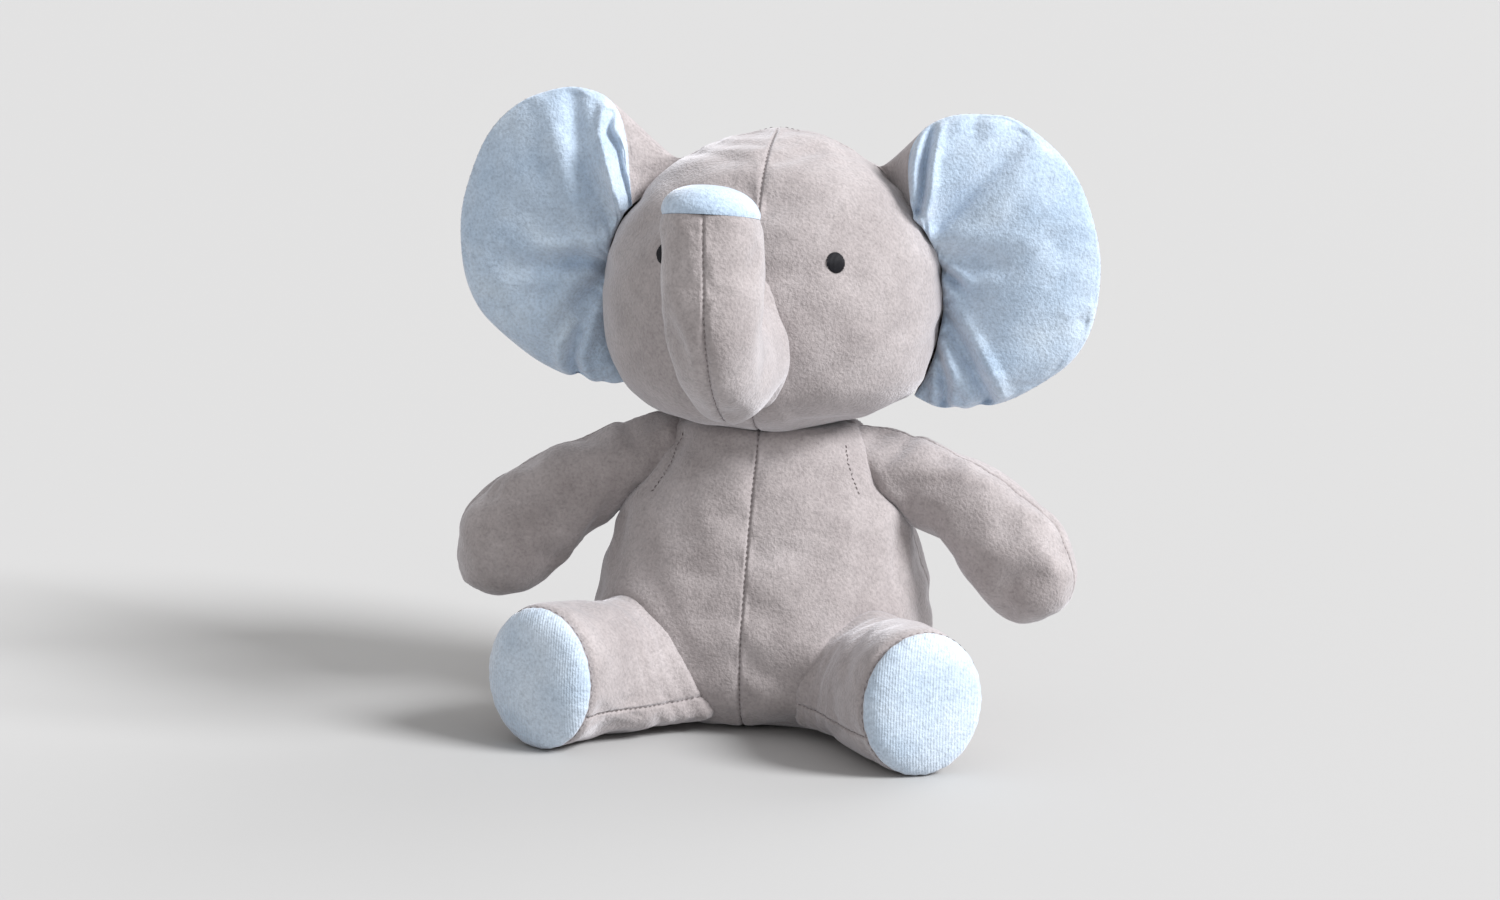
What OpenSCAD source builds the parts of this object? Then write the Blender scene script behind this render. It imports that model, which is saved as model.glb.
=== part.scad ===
// Sitting stuffed elephant: sewn velour covers over fibre stuffing, in millimetres.
// The toy faces -Y, its left side is +X, and it sits on z = 0 with the seat's centre at the origin.
// Every soft part is a stack of elliptical rings along a spine. A row of a stack is
// [place along the spine, half width, half depth, sideways shift of the ring's centre].

/* [Torso] */
// Widest width of the torso
torso_w = 138; // [120:1:150]
// Depth of the torso, front to back
torso_d = 112; // [100:1:120]
// Height of the torso, from the seat to the neck opening
torso_h = 118; // [112:1:124]

/* [Head] */
// Widest width of the head, across the cheeks
head_w = 137; // [125:1:145]
// Depth of the head, face to back
head_d = 118; // [108:1:126]
// Height of the head, chin to crown
head_h = 116; // [108:1:124]

/* [Ears] */
// Height of an ear
ear_h = 122; // [100:1:130]
// Distance from the toy's middle to an ear's outer rim
ear_reach = 131; // [120:1:140]
// Thickness of a stuffed ear at its middle
ear_t = 16; // [12:1:20]
// Angle by which the ears stand forward
ear_forward = 10; // [0:1:20]

/* [Trunk] */
// Diameter of the trunk at its root
trunk_root_d = 40; // [34:1:42]
// Diameter of the trunk at its tip
trunk_tip_d = 37; // [30:1:40]
// Radius of the trunk's upward bend, along its middle
trunk_bend_r = 27; // [26:1:32]
// Sideways lean of the trunk's tip
trunk_lean = 9; // [0:1:12]

/* [Arms] */
// Length of an arm from its shoulder point to the tip
arm_l = 91; // [80:1:96]
// Diameter of an arm at the paw
arm_d = 45; // [40:1:48]
// Angle of the arms below the horizontal
arm_droop = 32; // [20:1:40]
// Angle of the arms towards the front
arm_front = 12; // [0:1:20]

/* [Legs] */
// Length of a leg from its hip point to the rim of the sole
leg_l = 50; // [40:1:60]
// Height of a leg and of its sole
leg_d = 51; // [46:1:54]
// Width of a leg and of its sole
leg_w = 48; // [44:1:50]
// Angle by which each leg points outwards
leg_splay = 25; // [15:1:32]

/* [Details] */
// Thickness of the velour
fabric = 1.2; // [0.8:0.1:2]
// Diameter of an embroidered eye
eye_d = 7.6; // [5:0.1:10]
// Length of the tail
tail_l = 32; // [20:1:34]
// Free space in a ball joint and between parts that move
clearance = 0.6; // [0.5:0.1:1]

/* [Hidden] */

fabric_grey = "#a39a99";
lining_blue = "#a9c4e0";
stuffing_white = "#f2f0ea";
thread_black = "#1c1c22";

skin_gap = 0.15;          // between a cover and its stuffing
core = fabric + skin_gap; // depth of the stuffing's surface under the cover's
nudge = 0.01;             // step used to find a profile's slope

// Where the moving parts turn
neck_z = torso_h + 0.9;
neck_r = 20;
head_base = torso_h + 1.8;
head_mid = head_base + 0.36 * head_h;
ear_axis_x = head_w / 2 - 0.5;
ear_axis_y = 6;
ear_mid_z = head_base + 0.57 * head_h;
trunk_root = [0, -head_d / 2 - 6, head_base + 0.27 * head_h];
arm_ball_r = 20;
shoulder = [54.2, 0, torso_h - 19.5];
leg_ball_r = 25;
hip = [50, -47, leg_d / 2 + 0.3];
tail_ball_r = 5;
tail_root = [0, torso_d / 2 + 1, 30];

// ---------------------------------------------------------------- profiles

function signed_power(x, e) = sign(x) * pow(abs(x), e);

// The row before the first of a table, or after its last: mirrored where the stack closes to a point
function ghost_row(edge, next) =
    edge[1] == 0 ? [next[0], -next[1], -next[2], next[3]] : 2 * edge - next;

// The smooth row at place t of a table, where t counts its rows from 0
function table_row(table, t) =
    let (
        last = len(table) - 1,
        i = max(0, min(floor(t), last - 1)),
        f = t - i,
        p1 = table[i],
        p2 = table[i + 1],
        p0 = i > 0 ? table[i - 1] : ghost_row(p1, p2),
        p3 = i + 2 <= last ? table[i + 2] : ghost_row(p2, p1)
    )
    0.5 * (2 * p1 + (p2 - p0) * f + (2 * p0 - 5 * p1 + 4 * p2 - p3) * f * f
        + (3 * p1 - p0 - 3 * p2 + p3) * f * f * f);

// A row moved inwards by depth, at right angles to the profile
function inset_row(row, t, depth) =
    let (
        p = row(t),
        slope = row(t + nudge) - row(t - nudge),
        run = norm([slope[0], slope[1]])
    )
    [
        p[0] + depth * slope[1] / run,
        p[1] == 0 ? 0 : max(0, p[1] - depth * slope[0] / run),
        p[2] == 0 ? 0 : max(0, p[2] - depth * slope[0] / run),
        p[3]
    ];

torso_table = [
    for (r = [
        // height, half width and half depth, as shares of the torso's own
        [0.000, 0.74, 0.74], [0.018, 0.83, 0.83], [0.08, 0.945, 0.945], [0.22, 1, 1],
        [0.40, 0.97, 0.97], [0.56, 0.86, 0.88], [0.72, 0.70, 0.76], [0.85, 0.56, 0.62],
        [0.94, 0.44, 0.49], [0.985, 0.34, 0.39], [1.000, 0.235, 0.29]
    ])
    [r[0] * torso_h, r[1] * torso_w / 2, r[2] * torso_d / 2, 0]
];
torso_row = function (t) table_row(torso_table, t);
torso_end = len(torso_table) - 1;
seat_t = 0.75;  // the place in the table where the seat panel's edge meets the cover

// The head is rounder above its widest level and squarer below it
head_squareness = 0.71;
head_row = function (t)
    let (e = t < 0 ? head_squareness : 1)
    [
        head_mid + signed_power(sin(t), e) * (t < 0 ? head_mid - head_base : head_base + head_h - head_mid),
        signed_power(cos(t), e) * head_w / 2,
        signed_power(cos(t), e) * head_d / 2,
        0
    ];
head_start = -84;

trunk_table = [
    [-20, 0], [-17.32, 10], [-10, 17.32], [0, 20], [10, 20.1], [26, 20.6], [44, 20.3], [62, 19.6],
    [78, 19.0], [89, 18.5]
];
trunk_rows = [
    for (r = trunk_table)
    let (size = r[0] < 30 ? trunk_root_d / 40 : trunk_tip_d / 37)
    [r[0], r[1] * size, r[1] * size, 0]
];
trunk_row = function (t) table_row(trunk_rows, t);
trunk_end = len(trunk_rows) - 1;
trunk_length = trunk_table[trunk_end][0];

arm_table = [
    for (r = [
        [-20, 0], [-17.32, 10], [-10, 17.32], [0, 20], [9, 17.6], [18, 16.6], [32, 18.6], [48, 21.6],
        [64, 22.4], [78, 18.2], [87.4, 9.6], [91, 0]
    ])
    let (along = r[0] > 0 ? arm_l / 91 : 1, size = r[0] > 0 ? arm_d / 45 : 1)
    [r[0] * along, r[1] * size, r[1] * size * (r[0] > 30 ? 0.94 : 1), 0]
];
arm_row = function (t) table_row(arm_table, t);
arm_end = len(arm_table) - 1;

leg_table = [
    [-25, 0, 0, 0], [-21.65, 12.5, 12.5, 0], [-12.5, 21.65, 21.65, 0], [0, 25, 25, 0],
    [0.25 * leg_l, leg_w / 2, leg_d / 2 - 1, 0], [0.6 * leg_l, leg_w / 2 - 0.5, leg_d / 2 - 0.8, 0],
    [0.88 * leg_l, leg_w / 2, leg_d / 2, 0], [leg_l, leg_w / 2 - 1.2, leg_d / 2 - 1.2, 0]
];
leg_row = function (t) table_row(leg_table, t);
leg_end = len(leg_table) - 1;

// A domed disc that closes the end of a leg or of the trunk: from its rim, t = 0, to its middle, t = 90
dome_row = function (rim, rise) function (t)
    [rim[0] + rise * sin(t), rim[1] * cos(t), rim[2] * cos(t), 0];
sole_rise = 6;
sole_row = dome_row([leg_l, leg_w / 2 - 1.2, leg_d / 2 - 1.2], sole_rise);
tip_rise = 6.5;
tip_row = dome_row([trunk_length, trunk_tip_d / 2, trunk_tip_d / 2], tip_rise);

// Half width of the head at height z, where an ear lies against it
function head_half_width(z) =
    let (
        up = z > head_mid,
        share = min(1, abs(z - head_mid) / (up ? head_base + head_h - head_mid : head_mid - head_base)),
        power = up ? 2 : 2 / head_squareness
    )
    head_w / 2 * pow(1 - pow(share, power), 1 / power);

// An ear's rows run from its lowest point to its highest; its inner edge keeps off the head
ear_gap = 1.2;
ear_mid_x = 75;
ear_row = function (t)
    let (
        z = ear_mid_z - ear_h / 2 * cos(t),
        round = max(0, sin(t)),
        outer = ear_mid_x + (ear_reach - ear_mid_x) * round,
        free_edge = ear_mid_x - 24 * round,
        inner = min(outer, max(free_edge, head_half_width(z) + ear_gap))
    )
    [z, (outer - inner) / 2, ear_t / 2 * pow(round, 0.8), (outer + inner) / 2];
tail_table = [
    [-5, 0, 0, 0], [-4.33, 2.5, 2.5, 0], [-2.5, 4.33, 4.33, 0], [0, 5, 5, 0], [6, 4.5, 4.5, 0],
    [0.6 * tail_l, 3.8, 3.8, 0], [tail_l - 3, 3.4, 3.4, 0], [tail_l, 0, 0, 0]
];
tail_row = function (t) table_row(tail_table, t);
tail_end = len(tail_table) - 1;

// ---------------------------------------------------------------- places

upright = function (s, x, y) [x, y, s];

// A straight spine from origin along direction, with side and deep as its cross axes
function straight(origin, side, deep, direction) =
    function (s, x, y) origin + side * x + deep * y + direction * s;

// The trunk runs forward and a little down, bends up, and leans back to its tip
trunk_dip = -10;
trunk_top = 100;
trunk_straight = 4;
trunk_arc = trunk_bend_r * (trunk_top - trunk_dip) * PI / 180;
function trunk_heading(a) = [0, -cos(a), sin(a)];
function trunk_normal(a) = [0, sin(a), cos(a)];
function trunk_turn(s) =
    max(0, min(1, (s - trunk_straight) / trunk_arc)) * (trunk_top - trunk_dip) + trunk_dip;
trunk_place = function (s, x, y)
    let (
        a = trunk_turn(s),
        before = min(s, trunk_straight),
        after = max(0, s - trunk_straight - trunk_arc),
        middle = trunk_root + before * trunk_heading(trunk_dip)
            + trunk_bend_r * (trunk_normal(trunk_dip) - trunk_normal(a)) + after * trunk_heading(a),
        lean = trunk_lean * pow(max(0, s) / trunk_length, 2)
    )
    middle + [x - lean, 0, 0] + y * trunk_normal(a);

arm_axis = [cos(arm_droop) * cos(arm_front), -cos(arm_droop) * sin(arm_front), -sin(arm_droop)];
arm_deep = [sin(arm_front), cos(arm_front), 0];
arm_place = straight(shoulder, cross(arm_deep, arm_axis), arm_deep, arm_axis);

leg_axis = [sin(leg_splay), -cos(leg_splay), 0];
leg_place = straight(hip, cross([0, 0, 1], leg_axis), [0, 0, 1], leg_axis);

ear_side = [cos(ear_forward), -sin(ear_forward), 0];
ear_deep = [sin(ear_forward), cos(ear_forward), 0];
ear_axis_point = [ear_axis_x, ear_axis_y, 0];
ear_place = straight(ear_axis_point - ear_axis_x * ear_side, ear_side, ear_deep, [0, 0, 1]);

tail_droop = 41;
tail_axis = [0, cos(tail_droop), -sin(tail_droop)];
tail_place = straight(tail_root, [1, 0, 0], cross(tail_axis, [1, 0, 0]), tail_axis);

// The whole toy is moved so that its box is centred front to back
front_y = min([for (t = [0:0.05:trunk_end]) let (r = trunk_row(t)) trunk_place(r[0], 0, -r[2])[1]]);
back_y = max([for (t = [0:0.05:tail_end]) let (r = tail_row(t)) tail_place(r[0], 0, -r[2])[1]]);
centre_y = -round(5 * (front_y + back_y)) / 10;

// ---------------------------------------------------------------- solids

// Points of a surface: one list for each row from t0 to t1, each over angles a0 to a1
function surface_grid(row, place, t0, t1, rows, a0, a1, columns, depth) = [
    for (i = [0:rows])
    let (r = inset_row(row, t0 + (t1 - t0) * i / rows, depth))
    [
        for (j = [0:columns])
        let (a = a0 + (a1 - a0) * j / columns)
        place(r[0], r[3] + r[1] * cos(a), r[2] * sin(a))
    ]
];

function flat_list(grid) = [for (line = grid) for (p = line) p];

// Two triangles for each cell of a grid whose first point has number first
function cells(rows, columns, first, flip) = [
    for (i = [0:rows - 2])
    for (j = [0:columns - 2])
    let (
        a = first + i * columns + j,
        b = a + 1,
        c = a + columns,
        d = c + 1
    )
    each (flip ? [[a, b, d], [a, d, c]] : [[a, d, b], [a, c, d]])
];

// A strip of triangles between two lists of point numbers
function strip(from, to) = [
    for (k = [0:len(from) - 2])
    each [[from[k], to[k + 1], to[k]], [from[k], from[k + 1], to[k + 1]]]
];

// Triangles with two corners in one place are left out, so that a stack can close to a point
function real_faces(points, faces) = [
    for (f = faces)
    if (norm(points[f[0]] - points[f[1]]) > 1e-6
        && norm(points[f[1]] - points[f[2]]) > 1e-6
        && norm(points[f[2]] - points[f[0]]) > 1e-6) f
];

// A sheet of cloth: the space between an outer grid and the matching inner one
module sheet(outer, inner) {
    rows = len(outer);
    columns = len(outer[0]);
    count = rows * columns;
    points = concat(flat_list(outer), flat_list(inner));
    low = [for (j = [0:columns - 1]) j];
    high = [for (j = [0:columns - 1]) (rows - 1) * columns + j];
    left = [for (i = [0:rows - 1]) i * columns];
    right = [for (i = [0:rows - 1]) i * columns + columns - 1];
    function under(line) = [for (k = line) k + count];
    faces = concat(
        cells(rows, columns, 0, false),
        cells(rows, columns, count, true),
        strip(low, under(low)),
        strip(under(high), high),
        strip(under(left), left),
        strip(right, under(right))
    );
    polyhedron(points, real_faces(points, faces), convexity = 6);
}

// A cover's panel on a stack of rings
module panel(row, place, t0, t1, rows, a0, a1, columns) {
    sheet(
        surface_grid(row, place, t0, t1, rows, a0, a1, columns, 0),
        surface_grid(row, place, t0, t1, rows, a0, a1, columns, fabric)
    );
}

// A closed solid inside a grid that goes all the way round; an open end is closed by a flat fan
module stuffing(grid) {
    rows = len(grid);
    columns = len(grid[0]);
    round = columns - 1;
    first = grid[0];
    last = grid[rows - 1];
    function middle(line) = [for (k = [0:round - 1]) 1] * [for (k = [0:round - 1]) line[k]] / round;
    points = concat(flat_list(grid), [middle(first), middle(last)]);
    foot = rows * columns;
    head = foot + 1;
    top = (rows - 1) * columns;
    faces = concat(
        cells(rows, columns, 0, false),
        [for (k = [0:round - 1]) [foot, k, k + 1]],
        [for (k = [0:round - 1]) [head, top + k + 1, top + k]]
    );
    polyhedron(points, real_faces(points, faces), convexity = 6);
}

// A domed sheet of cloth that goes all the way round, closed to a point at its top
module cap(outer, inner) {
    rows = len(outer);
    columns = len(outer[0]);
    count = rows * columns;
    points = concat(flat_list(outer), flat_list(inner));
    low = [for (j = [0:columns - 1]) j];
    faces = concat(
        cells(rows, columns, 0, false),
        cells(rows, columns, count, true),
        strip(low, [for (k = low) k + count])
    );
    polyhedron(points, real_faces(points, faces), convexity = 6);
}

module dome(row, place) {
    cap(
        surface_grid(row, place, 0, 90, 5, 0, 360, 24, 0),
        surface_grid(row, place, 0, 90, 5, 0, 360, 24, fabric)
    );
}

module mirrored(side) {
    if (side == "left") children();
    else mirror([1, 0, 0]) children();
}

module ball_at(place, r) {
    translate(place) sphere(r = r, $fn = 48);
}

// ---------------------------------------------------------------- torso

// Space for the ball ends of the limbs and of the tail
module torso_pockets() {
    for (side = ["left", "right"]) mirrored(side) {
        ball_at(shoulder, arm_ball_r + clearance);
        ball_at(hip, leg_ball_r + clearance);
    }
    ball_at(tail_root, tail_ball_r + clearance);
}

// Space for the wad that carries the head
module neck_pocket() {
    ball_at([0, 0, neck_z], neck_r + clearance);
}

// One quarter of the torso's cover, starting from angle a0; the front centre seam is at -90
module torso_quarter(a0) {
    color(fabric_grey)
    difference() {
        panel(torso_row, upright, seat_t + 0.01, torso_end, 14, a0, a0 + 90, 7);
        torso_pockets();
        neck_pocket();
    }
}

module seat_panel() {
    color(fabric_grey)
    difference() {
        stuffing(surface_grid(torso_row, upright, 0, seat_t, 1, 0, 360, 28, 0));
        torso_pockets();
    }
}

module torso_filling() {
    color(stuffing_white)
    difference() {
        stuffing(surface_grid(torso_row, upright, 0, torso_end, 15, 0, 360, 28, core));
        torso_pockets();
        neck_pocket();
    }
}

module neck_wad() {
    color(stuffing_white) ball_at([0, 0, neck_z], neck_r);
}

// ---------------------------------------------------------------- head

module head_quarter(a0) {
    color(fabric_grey)
    difference() {
        panel(head_row, upright, head_start, 90, 16, a0, a0 + 90, 7);
        ball_at(trunk_root, trunk_root_d / 2 + clearance);
        neck_pocket();
    }
}

module head_filling() {
    color(stuffing_white)
    difference() {
        stuffing(surface_grid(head_row, upright, head_start, 90, 16, 0, 360, 28, core));
        ball_at(trunk_root, trunk_root_d / 2 + clearance);
        neck_pocket();
    }
}

// A domed satin-stitched oval, sewn through the face
module eye() {
    eye_angle = -59.5; // round the head, from its left side towards the face
    eye_level = 21.4;  // above the head's widest level, as an angle
    ring = head_row(eye_level);
    upper = head_row(90)[0] - head_mid;
    spot = [ring[1] * cos(eye_angle), ring[2] * sin(eye_angle), ring[0]];
    facing = [2 * spot[0] / pow(head_w / 2, 2), 2 * spot[1] / pow(head_d / 2, 2), 2 * (spot[2] - head_mid) / pow(upper, 2)];
    turn = atan2(facing[1], facing[0]);
    tilt = atan2(facing[2], norm([facing[0], facing[1]]));
    color(thread_black)
    translate(spot) rotate([0, 90 - tilt, turn])
    rotate_extrude($fn = 40)
        intersection() {
            translate([0, -eye_d * 1.3 + 0.7]) circle(r = eye_d * 1.3, $fn = 96);
            translate([0, -0.7]) square([eye_d / 2, 2]);
        }
}

// ---------------------------------------------------------------- trunk

module trunk_half(a0) {
    color(fabric_grey)
    panel(trunk_row, trunk_place, 0, trunk_end, 22, a0, a0 + 180, 12);
}

module trunk_tip() {
    color(lining_blue) dome(tip_row, trunk_place);
}

module trunk_filling() {
    color(stuffing_white)
    stuffing(concat(
        surface_grid(trunk_row, trunk_place, 0, trunk_end - 0.4, 21, 0, 360, 24, core),
        surface_grid(tip_row, trunk_place, 0, 90, 5, 0, 360, 24, core)
    ));
}

// ---------------------------------------------------------------- ears

module ear_half(a0, tint) {
    color(tint)
    panel(ear_row, ear_place, 0, 180, 18, a0, a0 + 180, 12);
}

module ear_filling() {
    color(stuffing_white)
    stuffing(surface_grid(ear_row, ear_place, 0, 180, 18, 0, 360, 22, core));
}

// ---------------------------------------------------------------- limbs

module arm_half(a0) {
    color(fabric_grey)
    panel(arm_row, arm_place, 0, arm_end, 20, a0, a0 + 180, 10);
}

module arm_filling() {
    color(stuffing_white)
    stuffing(surface_grid(arm_row, arm_place, 0, arm_end, 20, 0, 360, 20, core));
}

module leg_half(a0) {
    color(fabric_grey)
    panel(leg_row, leg_place, 0, leg_end, 14, a0, a0 + 180, 12);
}

module leg_filling() {
    color(stuffing_white)
    stuffing(concat(
        surface_grid(leg_row, leg_place, 0, leg_end - 0.4, 13, 0, 360, 24, core),
        surface_grid(sole_row, leg_place, 0, 90, 5, 0, 360, 24, core)
    ));
}

module sole() {
    color(lining_blue) dome(sole_row, leg_place);
}

module tail() {
    color(fabric_grey)
    stuffing(surface_grid(tail_row, tail_place, 0, tail_end, 14, 0, 360, 14, 0));
}

// ---------------------------------------------------------------- nodes

translate([0, centre_y, 0]) {
    torso_quarter(-90);  // torso_front_left
    torso_quarter(180);  // torso_front_right
    torso_quarter(0);  // torso_back_left
    torso_quarter(90);  // torso_back_right
    seat_panel();
    torso_filling();
    neck_wad();

    head_quarter(-90);  // face_left
    head_quarter(180);  // face_right
    head_quarter(0);  // head_back_left
    head_quarter(90);  // head_back_right
    head_filling();
    eye();  // eye_left
    mirror([1, 0, 0]) eye();  // eye_right

    trunk_half(-90);  // trunk_left
    trunk_half(90);  // trunk_right
    trunk_tip();
    trunk_filling();

    for (side = ["left", "right"]) mirrored(side) {
        ear_half(180, lining_blue);
        ear_half(0, fabric_grey);
        ear_filling();
        arm_half(180);
        arm_half(0);
        arm_filling();
        leg_half(0);
        leg_half(180);
        leg_filling();
        sole();
    }

    tail();
}
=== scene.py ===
import math

import bpy
import numpy as np
from mathutils import Euler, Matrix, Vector


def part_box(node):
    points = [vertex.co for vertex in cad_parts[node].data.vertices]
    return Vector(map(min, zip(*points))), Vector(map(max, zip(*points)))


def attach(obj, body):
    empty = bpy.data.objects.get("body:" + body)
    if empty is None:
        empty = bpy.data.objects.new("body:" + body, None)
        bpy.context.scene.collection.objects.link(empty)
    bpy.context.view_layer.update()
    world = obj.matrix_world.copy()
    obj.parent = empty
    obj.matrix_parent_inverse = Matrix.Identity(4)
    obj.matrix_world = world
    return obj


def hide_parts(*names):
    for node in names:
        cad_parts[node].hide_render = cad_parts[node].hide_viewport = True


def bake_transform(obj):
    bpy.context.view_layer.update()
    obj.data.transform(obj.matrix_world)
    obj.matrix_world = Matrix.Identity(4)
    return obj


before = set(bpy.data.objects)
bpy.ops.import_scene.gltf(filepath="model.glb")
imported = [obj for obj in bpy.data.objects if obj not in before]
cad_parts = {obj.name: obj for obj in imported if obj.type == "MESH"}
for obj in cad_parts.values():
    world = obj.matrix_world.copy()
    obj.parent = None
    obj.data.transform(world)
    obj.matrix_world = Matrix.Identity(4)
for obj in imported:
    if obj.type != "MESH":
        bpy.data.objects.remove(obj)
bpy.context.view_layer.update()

SCENE = bpy.context.scene

# Shapes are worked out in millimetres about the neck's axis, and moved into the row frame at the end.
NECK_LOW, NECK_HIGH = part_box("neck_wad")
AXIS_Y = (NECK_LOW[1] + NECK_HIGH[1]) / 2
MM, PER_METRE = 0.001, 1000


def to_frame(points):
    return np.asarray(points, float) * MM + np.array([0.0, AXIS_Y, 0.0])


# ---------------------------------------------------------------- materials

# How fine each pattern is, per metre, and how high the nap stands, in metres
BROAD_SCALE, PATCH_SCALE, NAP_SCALE, FIBRE_SCALE, RIB_SCALE = 45.0, 230.0, 820.0, 2500.0, 300.0
NAP_HEIGHT = 0.0007


def new_material(name):
    material = bpy.data.materials.new(name)
    material.use_nodes = True
    tree = material.node_tree
    shader = tree.nodes["Principled BSDF"]
    return material, tree, shader


def set_inputs(node, **values):
    """Sets a node's sockets; an underscore stands for a space in a socket's name."""
    for name, value in values.items():
        node.inputs[name.replace("_", " ")].default_value = value


def noise(tree, coords, scale, detail=2.0, rough=0.5):
    n = tree.nodes.new("ShaderNodeTexNoise")
    set_inputs(n, Scale=scale, Detail=detail, Roughness=rough)
    tree.links.new(coords, n.inputs["Vector"])
    return n.outputs["Fac"]


def ramp(tree, value, stops):
    r = tree.nodes.new("ShaderNodeValToRGB")
    elements = r.color_ramp.elements
    while len(elements) < len(stops):
        elements.new(0.5)
    for e, (place, colour) in zip(elements, stops):
        e.position = place
        e.color = (*colour, 1.0)
    tree.links.new(value, r.inputs["Fac"])
    return r.outputs["Color"]


def maths(tree, kind, a, b):
    m = tree.nodes.new("ShaderNodeMath")
    m.operation = kind
    for socket, value in zip(m.inputs, (a, b)):
        if isinstance(value, (int, float)):
            socket.default_value = value
        else:
            tree.links.new(value, socket)
    return m.outputs[0]


def mix_colour(tree, kind, share, a, b):
    m = tree.nodes.new("ShaderNodeMix")
    m.data_type = "RGBA"
    m.blend_type = kind
    if isinstance(share, (int, float)):
        m.inputs["Factor"].default_value = share
    else:
        tree.links.new(share, m.inputs["Factor"])
    for key, value in (("A", a), ("B", b)):
        socket = [s for s in m.inputs if s.name == key and s.type == "RGBA"][0]
        if isinstance(value, tuple):
            socket.default_value = (*value, 1.0)
        else:
            tree.links.new(value, socket)
    return [s for s in m.outputs if s.type == "RGBA"][0]


def velour(name, deep, mid, light, ribs=False):
    """Short-pile knitted velour: a broken nap, fine grain, soft sheen, and on the soles fine upright ribs."""
    material, tree, shader = new_material(name)
    coords = tree.nodes.new("ShaderNodeTexCoord").outputs["Object"]
    broad = noise(tree, coords, BROAD_SCALE, 3.0)
    patchy = noise(tree, coords, PATCH_SCALE, 3.0, 0.6)
    nap = noise(tree, coords, NAP_SCALE, 2.5, 0.6)
    colour = ramp(tree, broad, [(0.3, deep), (0.52, mid), (0.75, light)])
    mottled = ramp(tree, patchy, [(0.3, (0.91,) * 3), (0.55, (1.0,) * 3), (0.8, (1.05,) * 3)])
    colour = mix_colour(tree, "MULTIPLY", 1.0, colour, mottled)
    specks = ramp(tree, nap, [(0.30, (0.82,) * 3), (0.5, (1.0,) * 3), (0.70, (1.12,) * 3)])
    colour = mix_colour(tree, "MULTIPLY", 1.0, colour, specks)
    height = maths(tree, "ADD", maths(tree, "MULTIPLY", patchy, 0.4), nap)
    if ribs:
        wave = tree.nodes.new("ShaderNodeTexWave")
        wave.wave_type = "BANDS"
        wave.bands_direction = "X"
        set_inputs(wave, Scale=RIB_SCALE, Distortion=0.6, Detail=1.0)
        tree.links.new(coords, wave.inputs["Vector"])
        height = maths(tree, "ADD", height, maths(tree, "MULTIPLY", wave.outputs["Fac"], 0.2))
    bump = tree.nodes.new("ShaderNodeBump")
    set_inputs(bump, Strength=0.65, Distance=NAP_HEIGHT)
    tree.links.new(height, bump.inputs["Height"])
    tree.links.new(bump.outputs["Normal"], shader.inputs["Normal"])
    tree.links.new(colour, shader.inputs["Base Color"])
    set_inputs(shader, Roughness=0.92, Specular_IOR_Level=0.15, Sheen_Weight=0.7, Sheen_Roughness=0.5,
               Sheen_Tint=(0.95, 0.95, 1.0, 1.0))
    return material


def thread(name, colour, rough=0.6, sheen=0.2):
    material, tree, shader = new_material(name)
    coords = tree.nodes.new("ShaderNodeTexCoord").outputs["Object"]
    fibre = noise(tree, coords, FIBRE_SCALE, 2.0)
    dark = tuple(0.7 * c for c in colour)
    bright = tuple(min(1.0, 1.25 * c) for c in colour)
    tint = ramp(tree, fibre, [(0.3, dark), (0.7, bright)])
    tree.links.new(tint, shader.inputs["Base Color"])
    set_inputs(shader, Roughness=rough, Specular_IOR_Level=0.2, Sheen_Weight=sheen)
    return material


GREY = velour("grey_velour", (0.335, 0.300, 0.300), (0.385, 0.348, 0.348), (0.440, 0.402, 0.404))
BLUE = velour("blue_velour", (0.430, 0.548, 0.695), (0.497, 0.610, 0.748), (0.572, 0.678, 0.795))
BLUE_RIBBED = velour("blue_sole_velour", (0.470, 0.577, 0.702), (0.545, 0.642, 0.755), (0.612, 0.700, 0.800),
                     ribs=True)
# The seam thread is made dark partly as painted shade: it is the thread, and it also stands in for the shadow
# in the seams' dips.
THREAD_WITH_SEAM_SHADE = thread("seam_thread_and_shade", (0.15, 0.125, 0.125))
RIM_THREAD = thread("ear_edge_thread", (0.24, 0.19, 0.19))
EYE_THREAD = thread("eye_thread", (0.010, 0.010, 0.014), rough=0.5, sheen=0.08)


# ---------------------------------------------------------------- surfaces

def spline(padded, samples):
    """Samples of the smooth curve through rows of numbers, which have one extra row at each end."""
    last = len(padded) - 3
    t = np.linspace(0, last, samples)
    i = np.minimum(t.astype(int), last - 1)
    f = (t - i)[:, None]
    p0, p1, p2, p3 = (padded[i + k] for k in range(4))
    return 0.5 * (2 * p1 + (p2 - p0) * f + (2 * p0 - 5 * p1 + 4 * p2 - p3) * f ** 2
                  + (3 * p1 - p0 - 3 * p2 + p3) * f ** 3)


def running_length(points):
    """How far along a line each of its points is."""
    return np.concatenate([[0], np.cumsum(np.linalg.norm(np.diff(points, axis=0), axis=1))])


def at_places(places, run, values):
    """Rows of values at some places along a line, where run is how far along it each given row is."""
    return np.stack([np.interp(places, run, values[:, k]) for k in range(values.shape[1])], 1)


def smooth_table(table, count):
    """count rows, evenly spaced along the smooth profile through a table; a zero width is a pole."""
    rows = np.array(table, float)
    past_pole = np.array([1, -1, -1])
    before = rows[1] * past_pole if rows[0, 1] == 0 else 2 * rows[0] - rows[1]
    after = rows[-2] * past_pole if rows[-1, 1] == 0 else 2 * rows[-1] - rows[-2]
    curve = spline(np.vstack([before, rows, after]), 1500)
    curve[:, 1:3] = np.maximum(curve[:, 1:3], 0)
    run = np.concatenate([[0], np.cumsum(np.hypot(np.diff(curve[:, 0]), np.diff(curve[:, 1])))])
    return at_places(np.linspace(0, run[-1], count), run, curve)


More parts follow.
